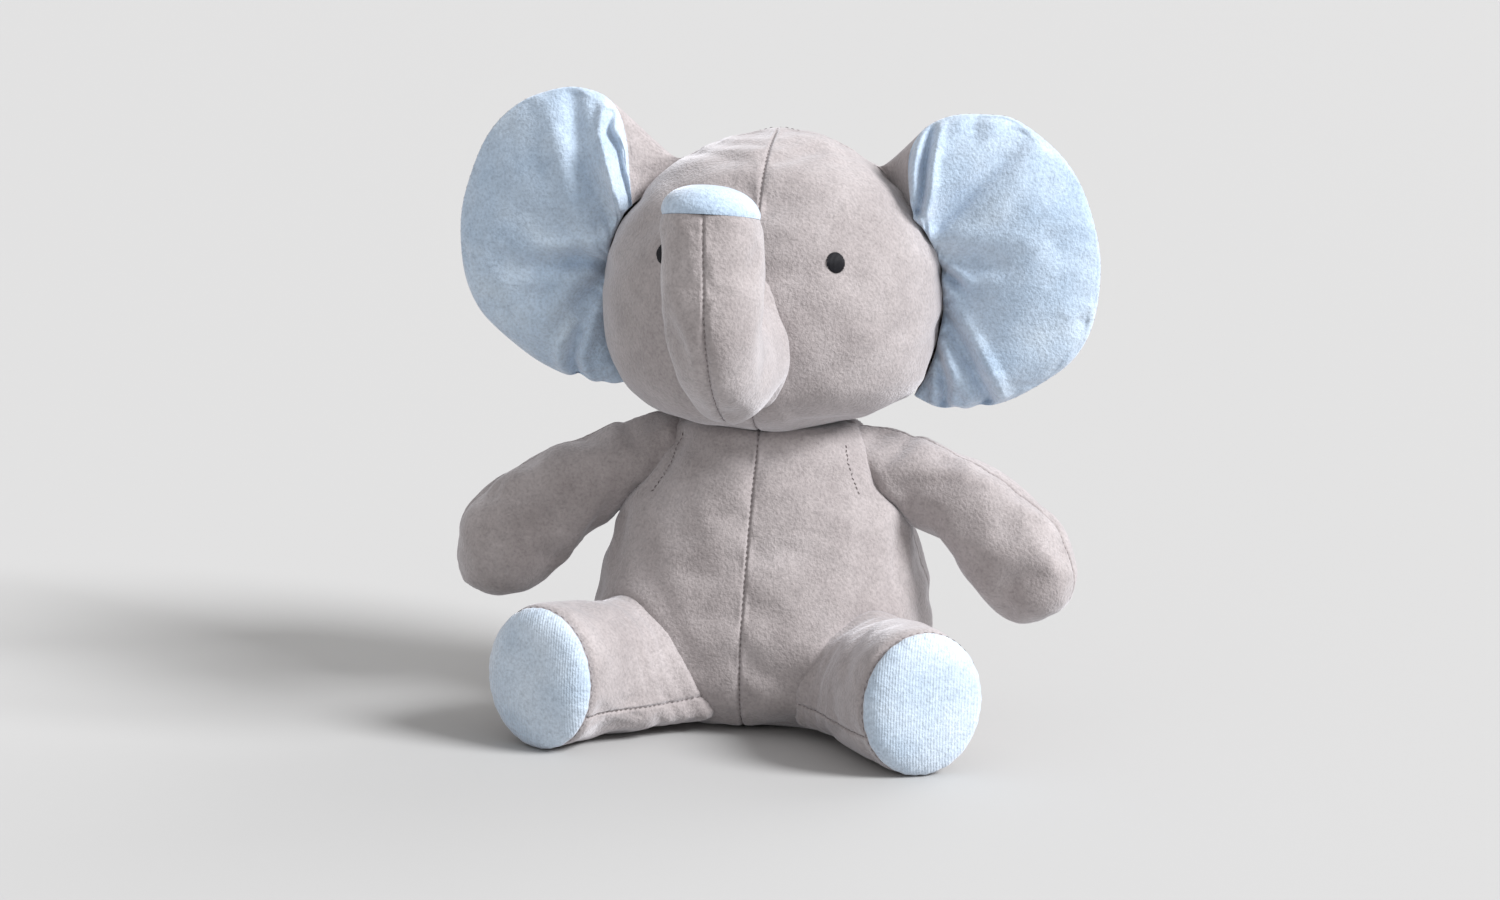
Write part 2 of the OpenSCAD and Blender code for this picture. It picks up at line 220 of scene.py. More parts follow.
def smooth_curve(points, count):
    """count points, evenly spaced along the smooth curve through a few."""
    p = np.array(points, float)
    curve = spline(np.vstack([2 * p[0] - p[1], p, 2 * p[-1] - p[-2]]), 60 * len(p))
    run = running_length(curve)
    return at_places(np.linspace(0, run[-1], count), run, curve)


def edge_spacing(count, gather=0.82):
    """Shares from 0 to 1, closer together towards both ends, where the seams are."""
    s = np.linspace(0, 1, count)
    return s - gather * np.sin(2 * np.pi * s) / (2 * np.pi)


def upright(s, x, y):
    return np.stack(np.broadcast_arrays(x, y, s), -1)


def straight(origin, side, deep, along):
    origin, side, deep, along = (np.array(v, float) for v in (origin, side, deep, along))
    return lambda s, x, y: origin + x[..., None] * side + y[..., None] * deep + s[..., None] * along


def ring_grid(rows, place, angles):
    a = np.radians(angles)
    s = rows[:, 0][:, None] + 0 * a[None, :]
    x = rows[:, 1][:, None] * np.cos(a)[None, :]
    y = rows[:, 2][:, None] * np.sin(a)[None, :]
    return place(s, x, y)


def grid_normals(grid):
    """Outward normals of a grid whose rows run along the spine and columns run anticlockwise."""
    du = np.gradient(grid, axis=0)
    dv = np.gradient(grid, axis=1)
    n = np.cross(dv, du)
    size = np.linalg.norm(n, axis=-1, keepdims=True)
    flat = size[..., 0] < 1e-7
    n = n / np.maximum(size, 1e-9)
    if flat.any():  # at a pole, the next row's mean stands in
        for i in np.unique(np.where(flat)[0]):
            j = 1 if i == 0 else i - 1
            mean = n[j].mean(0)
            n[i] = mean / np.linalg.norm(mean)
    return n


def waves(p, length, seed):
    """Smooth value noise from a few sine waves, about -1 to 1."""
    rng = np.random.default_rng(seed)
    total = np.zeros(p.shape[:-1])
    for _ in range(7):
        d = rng.normal(size=3)
        d /= np.linalg.norm(d)
        total += np.sin(p @ d * 2 * np.pi / (length * rng.uniform(0.75, 1.4)) + rng.uniform(0, 6.28))
    return total / 3.2


def distance_to(line, p):
    """Distance from each point to a polyline, and how far along it the nearest place is, 0 to 1."""
    best = np.full(p.shape[:-1], 1e9)
    along = np.zeros(p.shape[:-1])
    run = running_length(line)
    for k in range(len(line) - 1):
        a, b = line[k], line[k + 1]
        d = b - a
        t = np.clip(((p - a) @ d) / (d @ d), 0, 1)
        gap = np.linalg.norm(p - (a + t[..., None] * d), axis=-1)
        near = gap < best
        best = np.where(near, gap, best)
        along = np.where(near, (run[k] + t * (run[k + 1] - run[k])) / run[-1], along)
    return best, along


def crease(p, line, depth, width, shape=(0.0, 1.0, 0.0)):
    """How far a fold along a line lowers the surface: a valley between two soft ridges.
    shape is the fold's strength at even steps along the line."""
    gap, along = distance_to(smooth_curve(line, 24), p)
    strength = np.interp(along, np.linspace(0, 1, len(shape)), shape)
    ridges = 0.4 * np.exp(-((gap - 2.3 * width) / (1.1 * width)) ** 2)
    return strength * depth * (-np.exp(-(gap / width) ** 2) + ridges)


def edge_distances(grid):
    """How far each point is along its row from the grid's first column, and from its last."""
    step = np.linalg.norm(np.diff(grid, axis=1), axis=-1)
    left = np.concatenate([np.zeros((len(grid), 1)), np.cumsum(step, 1)], 1)
    return left, left[:, -1:] - left


def junction(gap, reach, groove, width):
    """How two rounded covers run into each other where they are sewn: both rise, and the seam pulls in."""
    return np.clip(reach - np.abs(gap), 0, None) ** 2 / (4 * reach) - groove * np.exp(-(gap / width) ** 2)


SEAM_DEPTH = 0.9  # of the groove that the thread pulls in


def seam_drop(d, room, run, seed, valley=0.45, groove=SEAM_DEPTH, pucker=0.2):
    """How far a surface sinks at distance d from a seam: a soft valley, a narrow groove, and small puckers.
    room is the panel's width there, and run is how far along the seam it is."""
    scale = np.clip(room / 14.0, 0.12, 1.0)
    long_waves = np.sin(run * 2 * np.pi / 5.3 + 1.7 * np.sin(run * 0.31 + seed))
    short_waves = np.sin(run * 2 * np.pi / 3.1 + seed)
    phase = long_waves * 0.6 + short_waves * 0.4
    return scale * (
        -valley * np.exp(-(d / 5.0) ** 2)
        - groove * np.exp(-(d / 0.62) ** 1.6)
        + pucker * phase * np.exp(-(d / 2.6) ** 1.3)
    )


def make_piece(name, points, faces, material):
    mesh = bpy.data.meshes.new(name)
    places = [tuple(map(float, q)) for q in to_frame(points)]
    mesh.from_pydata(places, [], [tuple(map(int, f)) for f in faces])
    mesh.materials.append(material)
    mesh.polygons.foreach_set("use_smooth", [True] * len(mesh.polygons))
    mesh.update()
    obj = bpy.data.objects.new(name, mesh)
    SCENE.collection.objects.link(obj)
    return obj


def is_pole(row):
    """Whether a row of a grid has shrunk to a point."""
    return np.ptp(row, axis=0).max() < 1e-6


def grid_loops(index):
    """The corners of each cell of a grid of vertex numbers, without the same one twice in a row."""
    for i in range(index.shape[0] - 1):
        for j in range(index.shape[1] - 1):
            loop = [index[i, j], index[i, j + 1], index[i + 1, j + 1], index[i + 1, j]]
            yield [v for k, v in enumerate(loop) if v != loop[k - 1]]


def weld_grid(grid):
    """Points and faces of a grid, with a row that has shrunk to a point merged into one vertex."""
    rows, columns = grid.shape[:2]
    index = np.arange(rows * columns).reshape(rows, columns)
    for i in (0, rows - 1):
        if is_pole(grid[i]):
            index[i] = index[i, 0]
    faces = [loop for loop in grid_loops(index) if len(loop) > 2]
    used = np.unique([v for f in faces for v in f])
    place = {v: k for k, v in enumerate(used)}
    return grid.reshape(-1, 3)[used], [[place[v] for v in f] for f in faces]


def tube_faces(base, rings):
    """Faces of a closed tube of six-sided rings whose points start at number base."""
    faces = []
    for ring in range(rings - 1):
        for k in range(6):
            a, b = base + ring * 6 + k, base + ring * 6 + (k + 1) % 6
            faces.append([a, b, b + 6, a + 6])
    faces.append([base + k for k in range(5, -1, -1)])
    faces.append([base + (rings - 1) * 6 + k for k in range(6)])
    return faces


def grid_piece(name, grid, material, flip=False):
    points, faces = weld_grid(grid)
    if flip:
        faces = [f[::-1] for f in faces]
    return make_piece(name, points, faces, material)


def settle(obj, nodes=(), slot="grey_velour", body=None, bend=None, fill=None):
    """Hides the parts that a piece stands in for, and either bakes its place into it or hangs it on its
    body's empty.
    """
    if nodes:
        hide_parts(*nodes)
    if bend:
        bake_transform(obj)
    else:
        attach(obj, body)


# The rings of one stitch: places along it from -1 to 1, and how thick it is there
STITCH_RINGS = ((-1.0, 0.25), (-0.7, 0.85), (0.0, 1.0), (0.7, 0.85), (1.0, 0.25))


def stitch_row(name, line, normals, sink=0.55, pitch=2.3, length=1.35, radius=0.17, material=THREAD_WITH_SEAM_SHADE,
               **bonds):
    """A row of small stitches that lie in a seam."""
    run = running_length(line)
    places = np.arange(pitch, run[-1] - pitch / 2, pitch)
    points, faces = [], []
    for s in places:
        at, ahead = at_places([s, s + 0.4], run, line)
        up = at_places([s], run, normals)[0]
        along = ahead - at
        along /= np.linalg.norm(along)
        up = up - along * (up @ along)
        up /= np.linalg.norm(up)
        side = np.cross(along, up)
        faces += tube_faces(len(points), len(STITCH_RINGS))
        for share, size in STITCH_RINGS:
            arch = 0.18 * (1 - share * share)
            for k in range(6):
                a = k * math.pi / 3
                points.append(at + up * (arch - sink + SEAM_DEPTH) + along * share * length / 2
                              + size * radius * (math.cos(a) * side + math.sin(a) * up))
    settle(make_piece(name, np.array(points), faces, material), **bonds)


# ---------------------------------------------------------------- the toy's parts

# height, half width, half depth
TORSO = [
    (0.0, 50, 41), (1.2, 55, 45.5), (5, 62.5, 50.5), (12, 66.8, 55.4), (22, 68.8, 57.8), (36, 69, 58.4),
    (50, 67.8, 56.2), (64, 64.6, 52.2), (78, 60, 47.4), (92, 53.6, 41.8), (104, 46, 36.2),
    (111, 40.6, 32.4), (115.6, 36.6, 30.0), (118.0, 32, 27.0), (118.8, 27, 23), (119.2, 20, 17),
]
HEAD = [
    (118.0, 33.0, 27.6), (119.4, 38.5, 33.2), (121.6, 45, 39), (125, 51.4, 44.6), (130.5, 57.6, 49.8),
    (137, 62, 53.6), (145, 65.2, 56.4), (153, 67, 58), (161, 68, 58.8), (169, 68.4, 59), (178, 67.8, 58.5),
    (188, 65.6, 56.6), (196, 62.3, 53.8), (204, 57.6, 50), (212, 51.4, 44.8), (219, 44.4, 38.8),
    (225, 36.6, 32), (230, 27, 23.8), (233.4, 16, 14.2), (235, 0, 0),
]


def profile(table):
    rows = smooth_table(table, 400)
    return lambda z: (np.interp(z, rows[:, 0], rows[:, 1]), np.interp(z, rows[:, 0], rows[:, 2]))


torso_size = profile(TORSO)
head_size = profile(HEAD)


def outside(p, size):
    """Roughly how far points are outside a torso or head, in millimetres."""
    w, d = size(p[..., 2])
    w, d = np.maximum(w, 1), np.maximum(d, 1)
    share = np.sqrt((p[..., 0] / w) ** 2 + (p[..., 1] / d) ** 2)
    return (share - 1) * (w + d) / 2


class Limb:
    """A stack of rings, bowed upwards; side is +1 for the toy's left and -1 for its right."""

    def __init__(self, side, root, along, deep, table, bow=0.0, slim=0.0):
        self.side = side
        self.bow = bow
        self.slim = slim
        flip = np.array([side, 1, 1])
        self.root = np.array(root, float) * flip
        self.along = np.array(along, float) * flip
        self.along /= np.linalg.norm(self.along)
        self.deep = np.array(deep, float) * flip
        self.across = np.cross(self.deep, self.along)
        self.table = table
        self.rows = smooth_table(table, 300)
        self.rise = self.across * np.sign(self.across[2] or 1)
        self.length = self.rows[-1, 0]

    def bowed(self, s):
        """How far a limb stands above the straight line through its root, most near the shoulder."""
        return self.bow * np.sin(np.pi * np.clip(s / self.length, 0, 1) ** 0.62)

    def slimmed(self, s, x):
        """How much of its width a limb keeps: less underneath, near the shoulder."""
        under = x * (np.sign(self.across[2]) or 1) < 0
        return 1 - self.slim * under * np.clip((s + 10) / 20, 0, 1) * np.clip((78 - s) / 40, 0, 1)

    def place(self, s, x, y):
        x = x * self.slimmed(s, x)
        return (self.root + x[..., None] * self.across + y[..., None] * self.deep + s[..., None] * self.along
                + self.bowed(s)[..., None] * self.rise)

    def outside(self, p):
        q = p - self.root
        s, y = q @ self.along, q @ self.deep
        x = (q - self.bowed(s)[..., None] * self.rise) @ self.across
        w = np.maximum(np.interp(s, self.rows[:, 0], self.rows[:, 1]), 1) * self.slimmed(s, x)
        d = np.maximum(np.interp(s, self.rows[:, 0], self.rows[:, 2]), 1)
        gap = (np.sqrt((x / w) ** 2 + (y / d) ** 2) - 1) * (w + d) / 2
        beyond = np.maximum(self.rows[0, 0] - s, s - self.rows[-1, 0])
        return np.maximum(gap, beyond)


ARM_ROOT = (50, 0, 99)
ARM_FRONT = math.radians(12)  # how far round to the front the arms point
ARM_TABLE = [
    (-25, 6, 8), (-18, 11.5, 12), (-9, 16.6, 15.4), (2, 18.9, 17.4), (12, 18.6, 17.8), (24, 19.2, 18.4),
    (38, 20.9, 19.4), (52, 22.3, 20.4), (64, 22.6, 20.6), (74, 21.3, 19.4), (83, 17.4, 16),
    (89.5, 11.6, 10.6), (93.4, 5.3, 4.8), (94.4, 0, 0),
]


def arm(side, droop, bow, reach, slim):
    """droop is in degrees below level, and reach is the share of the table's length that this arm has."""
    droop = math.radians(droop)
    level = math.cos(droop)
    along = (level * math.cos(ARM_FRONT), -level * math.sin(ARM_FRONT), -math.sin(droop))
    deep = (math.sin(ARM_FRONT), math.cos(ARM_FRONT), 0)
    table = [(s * (reach if s > 0 else 1), w, d) for s, w, d in ARM_TABLE]
    return Limb(side, ARM_ROOT, along, deep, table, bow, slim)


ARMS = {"left": arm(1, 31.5, 5.4, 0.945, 0.25), "right": arm(-1, 34.5, 4.4, 0.965, 0.16)}
LEG_ROOT = (50, -47, 25.6)
LEG_TABLE = [
    (-18, 18, 19), (-12, 20.5, 21), (0, 22.8, 23.2), (12, 24.2, 24.8), (26, 24.8, 25.6), (40, 24.8, 25.8),
    (47, 24.5, 25.6), (50, 23.9, 25.0),
]


def leg(side, splay):
    splay = math.radians(splay)
    return Limb(side, LEG_ROOT, (math.sin(splay), -math.cos(splay), 0), (0, 0, 1), LEG_TABLE)


LEGS = {"left": leg(1, 30), "right": leg(-1, 25.5)}
FLARE = {1: 12, -1: 25}  # how far each thigh reaches into the crotch, by side
THIGH_PINCH = 7  # how far the top of each thigh draws in
FOOT_RISE = 4.4


def leg_shape(p, limb):
    """Low down, the inside of a thigh widens into the crotch; the far end stands taller for the foot."""
    q = p - limb.root
    s, x, z = q @ limb.along, q @ limb.across * limb.side, q @ limb.deep
    inside = np.clip((6 - x) / 20, 0, 1)
    low = np.clip(0.5 - z / 50, 0, 1) ** 1.6 * np.clip(1 - s / 44, 0, 1.15) ** 1.5
    high = np.clip(0.35 + z / 50, 0, 1) * np.clip(1 - s / 40, 0, 1.15)
    inside = inside * (FLARE[limb.side] * low - THIGH_PINCH * high)
    inward = np.array([-0.95 * limb.side, -0.3, 0])
    taller = FOOT_RISE * np.clip(0.5 + z / 50, 0, 1) * np.clip((s - 4) / 40, 0, 1)
    return p + inward * inside[..., None] + np.stack([0 * s, 0 * s, taller], -1)


# How far from a limb's seam the covers start to rise, and how wide and deep the fold between them is
ARM_REACH, LEG_REACH = 10.0, 18.0
ARM_FOLD_WIDTH, LEG_FOLD_WIDTH, LEG_FOLD_DEPTH = 2.6, 2.4, 2.0


def arm_groove(z):
    """The arm's fold is deep at the armpit and runs out over the shoulder."""
    return 2.2 * np.clip((112 - z) / 12, 0.05, 1)


def torso_dents(p):
    """The torso runs into the arms and legs, and sinks in along their seams."""
    drop = np.zeros(p.shape[:-1])
    for limb in ARMS.values():
        drop += junction(limb.outside(p), ARM_REACH, arm_groove(p[..., 2]), ARM_FOLD_WIDTH)
    for limb in LEGS.values():
        depth = LEG_FOLD_DEPTH * np.clip(p[..., 2] / 10, 0.1, 1)
        drop += junction(limb.outside(p), LEG_REACH, depth, LEG_FOLD_WIDTH)
    return drop


# The stitched seam of each arm runs down the torso's front, a little inside the arm's fold
ARM_SEAMS = {
    "left": np.array([(35.5, -20, 116), (38.5, -27, 110), (42, -31, 103), (46.5, -31.5, 96.5)]),
    "right": np.array([(-38, -17, 116), (-41, -24, 109.5), (-44.5, -28.5, 101.5), (-48, -30.5, 93.5)]),
}


def torso_folds(p):
    drop = 0.9 * waves(p, 46, 3) + 0.35 * waves(p, 21, 4)
    for side in (1, -1):
        m = np.array([side, 1, 1])
        drop += crease(p, np.array([(30, -46, 50), (22, -53, 36), (12, -56, 22)]) * m, 1.2, 3.5, (0.6, 1, 0))
        drop += crease(p, np.array([(56, -20, 78), (57, -28, 64), (54, -36, 52)]) * m, 0.9, 4, (1, 0.8, 0))
    for line in ARM_SEAMS.values():
        drop += crease(p, line, 1.0, 0.9, (0.9, 1, 0.5))
    return drop * np.clip((117 - p[..., 2]) / 10, 0, 1)


def on_floor(p):
    """Nothing reaches below the floor: what would is pressed flat against it."""
    return np.concatenate([p[..., :2], np.maximum(p[..., 2:], 0.02)], -1)


PANELS = []


PLAIN_PANEL = dict(slot="grey_velour", body=None, bend=None, fill=0.9, flip=False, seams=None, stitches=None,
                   first=0, size=0.13, sides=True)


def panel(cover, name, grid, material, nodes, out=None, **rest):
    """Registers one panel of a cover. seams are the seeds of its left and right seams and what is special
    about them. stitches, first and size are the name, first row and thickness of the left seam's stitches.
    sides says whether the grid's first and last columns are edges that are sewn down."""
    if out is None:
        out = grid_normals(grid)
    PANELS.append({**PLAIN_PANEL, **rest, "cover": cover, "name": name, "grid": grid, "material": material,
                   "nodes": nodes, "out": out})


def ring_panel(cover, name, rows, place, start, stop, columns, drops, shift=None, **rest):
    """One panel between two seams of a cover made of rings."""
    grid = ring_grid(rows, place, start + (stop - start) * edge_spacing(columns))
    if shift:
        grid = shift(grid)
    out = grid_normals(grid)
    panel(cover, name, on_floor(grid + out * drops(grid)[..., None]), GREY, out=out, **rest)


CLOTH_STEP = 2  # rows and columns of a cover to one of its coarse copy
CLOTH_FRAMES = 20
CLOTH_PRESSURE = 4.0
CLOTH_EXCESS = 0.03  # how much bigger each panel is cut than its shape
CLOTH_GROWTH = 0.7  # the share of a panel's mean swelling that is taken off again
CLOTH_CAP = 4.0  # the most that a panel's relief may rise or sink
CLOTH_FADE = 3.0  # how far from a seam the relief reaches its full height


def coarse_steps(count):
    """The rows or columns of a grid that its coarse copy keeps."""
    return np.unique(np.linspace(0, count - 1, max(4, round(count / CLOTH_STEP))).astype(int))


def cloth_object(cover, panels):
    """A coarse copy of a cover, sewn together along its seams, that is pinned there and swells as cloth."""
    points, index_of, faces, pinned = [], {}, [], set()
    for q in panels:
        rows, columns = (coarse_steps(n) for n in q["grid"].shape[:2])
        index = np.zeros((len(rows), len(columns)), int)
        for i, r in enumerate(rows):
            for j, c in enumerate(columns):
                key = tuple(np.round(q["grid"][r, c], 1))
                if key not in index_of:
                    index_of[key] = len(points)
                    points.append(q["grid"][r, c])
                index[i, j] = index_of[key]
        for loop in grid_loops(index):
            if len(set(loop)) == len(loop) > 2:
                faces.append(loop[::-1] if q["flip"] else loop)
        q["coarse"] = (rows, columns, index)
        for k in (0, -1):
            if not is_pole(q["grid"][k]):
                pinned.update(index[k])
        if q["sides"]:
            pinned.update(index[:, 0])
            pinned.update(index[:, -1])
    obj = make_piece("cloth_" + cover, np.array(points), faces, GREY)
    group = obj.vertex_groups.new(name="seams")
    group.add([int(v) for v in pinned], 1.0, "REPLACE")
    cloth = obj.modifiers.new("cloth", "CLOTH")
    settings = cloth.settings
    settings.quality = 5
    settings.mass = 0.05
    settings.tension_stiffness = settings.compression_stiffness = 12
    settings.shear_stiffness = 6
    settings.bending_stiffness = 0.4
    settings.use_pressure = True
    settings.uniform_pressure_force = CLOTH_PRESSURE
    settings.shrink_min = -CLOTH_EXCESS
    settings.vertex_group_mass = "seams"
    settings.effector_weights.gravity = 0.0
    cloth.collision_settings.use_collision = False
    cloth.point_cache.frame_start, cloth.point_cache.frame_end = 1, CLOTH_FRAMES
    return obj


def smoother(t):
    t = np.clip(t, 0, 1)
    return t * t * (3 - 2 * t)


def spread(values, rows, columns, shape):
    """Values on some rows and columns of a grid, carried smoothly to all of them."""
    a = np.stack([np.interp(np.arange(shape[0]), rows, values[:, j]) for j in range(values.shape[1])], 1)
    b = np.stack([np.interp(np.arange(shape[1]), columns, a[i]) for i in range(shape[0])], 0)
    for _ in range(3):
        b[1:-1] = (b[:-2] + 2 * b[1:-1] + b[2:]) / 4
        b[:, 1:-1] = (b[:, :-2] + 2 * b[:, 1:-1] + b[:, 2:]) / 4
    return b


def simulate():
    """Every cover swells as cloth. Only each panel's relief is kept, so that the toy keeps its size."""
    covers = {}
    for q in PANELS:
        covers.setdefault(q["cover"], []).append(q)
    SCENE.frame_start, SCENE.frame_end = 1, CLOTH_FRAMES
    objects = {cover: cloth_object(cover, panels) for cover, panels in covers.items()}
    for frame_number in range(1, CLOTH_FRAMES + 1):
        SCENE.frame_set(frame_number)
    graph = bpy.context.evaluated_depsgraph_get()
    for cover, panels in covers.items():
        obj = objects[cover]
        now = np.array([v.co for v in obj.evaluated_get(graph).data.vertices])
        moved = (now - np.array([v.co for v in obj.data.vertices])) * PER_METRE
        for q in panels:
            if not q["sides"]:  # a dome keeps its own smooth crown, because its columns all meet at one point
                continue
            rows, columns, index = q["coarse"]
            grid = q["grid"]
            way = [spread(moved[index][..., k], rows, columns, grid.shape[:2]) for k in range(3)]
            rise = (np.stack(way, -1) * q["out"]).sum(-1)
            rise = np.clip(rise - CLOTH_GROWTH * rise.mean(), -CLOTH_CAP, CLOTH_CAP)
            down = np.minimum(*edge_distances(grid))
            along = edge_distances(grid.transpose(1, 0, 2))
            for k in (0, -1):
                if not is_pole(grid[k]):
                    down = np.minimum(down, along[k].T)
            q["relief"] = q["out"] * (rise * smoother(down / CLOTH_FADE))[..., None]
        mesh = obj.data
        bpy.data.objects.remove(obj)
        bpy.data.meshes.remove(mesh)
    SCENE.frame_set(1)


FINAL = {}  # each panel's finished grid, by name


def laid_on(line, names):
    """The nearest places to a line on some finished panels, and the panels' normals there."""
    grids = [FINAL[name] for name in names]
    points = np.concatenate([g.reshape(-1, 3) for g in grids])
    normals = np.concatenate([grid_normals(g).reshape(-1, 3) for g in grids])
    places, ups = [], []
    for q in line:
        gap = np.linalg.norm(points - q, axis=1)
        near = np.argsort(gap)[:9]
        share = 1 / (gap[near] + 0.3) ** 2
        places.append((points[near] * share[:, None]).sum(0) / share.sum())
        up = (normals[near] * share[:, None]).sum(0)
        ups.append(up / np.linalg.norm(up))
    return np.array(places), np.array(ups)


def sew_up(q):
    """Makes one panel's piece, with its seams drawn in."""
    grid = q["grid"] + q.get("relief", 0)
    normals = q["out"]
    if q["seams"]:
        seeds, special = q["seams"]
        to_left, to_right = edge_distances(grid)
        for column, away, seed in ((0, to_left, seeds[0]), (-1, to_right, seeds[1])):
            run = running_length(grid[:, column])[:, None] + 0 * away
            grid = grid + normals * seam_drop(away, to_left + to_right, run, seed, **special)[..., None]
    grid = on_floor(grid)
    FINAL[q["name"]] = grid
    piece = grid_piece(q["name"], grid, q["material"], flip=q["flip"])
    settle(piece, q["nodes"], slot=q["slot"], body=q["body"], bend=q["bend"], fill=q["fill"])
    if q["stitches"]:
        a = q["first"]
        stitch_row(q["stitches"], grid[a:-1, 0], normals[a:-1, 0], radius=q["size"], bend=q["bend"])


torso_rows = smooth_table(TORSO, 100)
NECK_BEND = ("torso", "neck", (0, 0, 104), (0, 0, 117))


def torso_drop(p):
    return torso_dents(p) + torso_folds(p)


for name, start, seeds in (("front_left", -90, (1, 2)), ("back_left", 0, (2, 3)),
                           ("back_right", 90, (3, 4)), ("front_right", 180, (4, 1))):
    inside = ["torso_filling", "neck_wad"] if name == "front_left" else []
    stitches = "torso_stitches_" + name.split("_")[0] if name in ("front_left", "back_right") else None
    ring_panel("torso", "torso_cover_" + name, torso_rows, upright, start, start + 90, 60, torso_drop,
               nodes=["torso_" + name] + inside, bend=NECK_BEND, seams=(seeds, {}), first=2, size=0.16,
               stitches=stitches)

seat_rows = smooth_table([(0.0, 50.2, 41.2), (0.0, 34, 28), (0.15, 16, 13), (0.2, 0, 0)], 16)
seat = ring_grid(seat_rows, upright, np.linspace(0, 360, 121))
piece = grid_piece("seat_panel_cover", seat, GREY, flip=True)
settle(piece, ["seat_panel"], body="torso", fill=0.9)


def head_drop(p):
    return 0.8 * waves(p, 50, 11) + 0.3 * waves(p, 22, 12)


def chin_lift(p):
    """The head sits a little higher on its left, clear of the shoulder."""
    lift = 4.5 * np.clip((p[..., 0] - 12) / 34, 0, 1) * np.clip((140 - p[..., 2]) / 18, 0, 1)
    return p + np.stack([0 * lift, 0 * lift, lift], -1)


head_rows = smooth_table(HEAD, 118)
HEAD_BEND = ("neck", "head", (0, 0, 118), (0, 0, 131))
SOFT_SEAM = dict(valley=0.3, groove=0.9, pucker=0.14)
for name, start, seeds in (("face_left", -90, (5, 6)), ("head_back_left", 0, (6, 7)),
                           ("head_back_right", 90, (7, 8)), ("face_right", 180, (8, 5))):
    ring_panel("head", name + "_cover", head_rows, upright, start, start + 90, 64, head_drop, shift=chin_lift,
               nodes=[name] + (["head_filling"] if name == "face_left" else []), bend=HEAD_BEND, fill=0.95,
               seams=(seeds, SOFT_SEAM), stitches=name + "_stitches", first=2)

# ---------------------------------------------------------------- arms and legs

for name, limb in ARMS.items():
    rows = smooth_table(limb.table, 84)
    bend = ("torso", "arm_" + name, limb.root - limb.along * 4, limb.root + limb.along * 20)

    def arm_drop(p, limb=limb):
        gap = outside(p, torso_size)
        s = (p - limb.root) @ limb.along
        drop = junction(gap, ARM_REACH, arm_groove(p[..., 2]), ARM_FOLD_WIDTH)
        drop = drop + 0.7 * waves(p, 36, 21) + 0.25 * waves(p, 17, 22)
        return drop * np.clip((s + 22) / 8, 0, 1)

    for half, start, seeds, inside in (("front", 180, (9, 10), ["arm_filling_" + name]),
                                       ("back", 0, (10, 9), [])):
        ring_panel("arm_" + name, f"arm_cover_{half}_{name}", rows, limb.place, start, start + 180, 72,
                   arm_drop, nodes=[f"arm_{half}_{name}"] + inside, bend=bend, seams=(seeds, {}),
                   stitches=f"arm_stitches_{half}_{name}", first=12)


def dome_row(angle, start, rise, width, depth, power):
    """One ring of a rounded end, at an angle in degrees up from its edge; a low power keeps it broad."""
    a = math.radians(angle)
    f = math.cos(a) ** power
    return (start + rise * math.sin(a), width * f, depth * f)


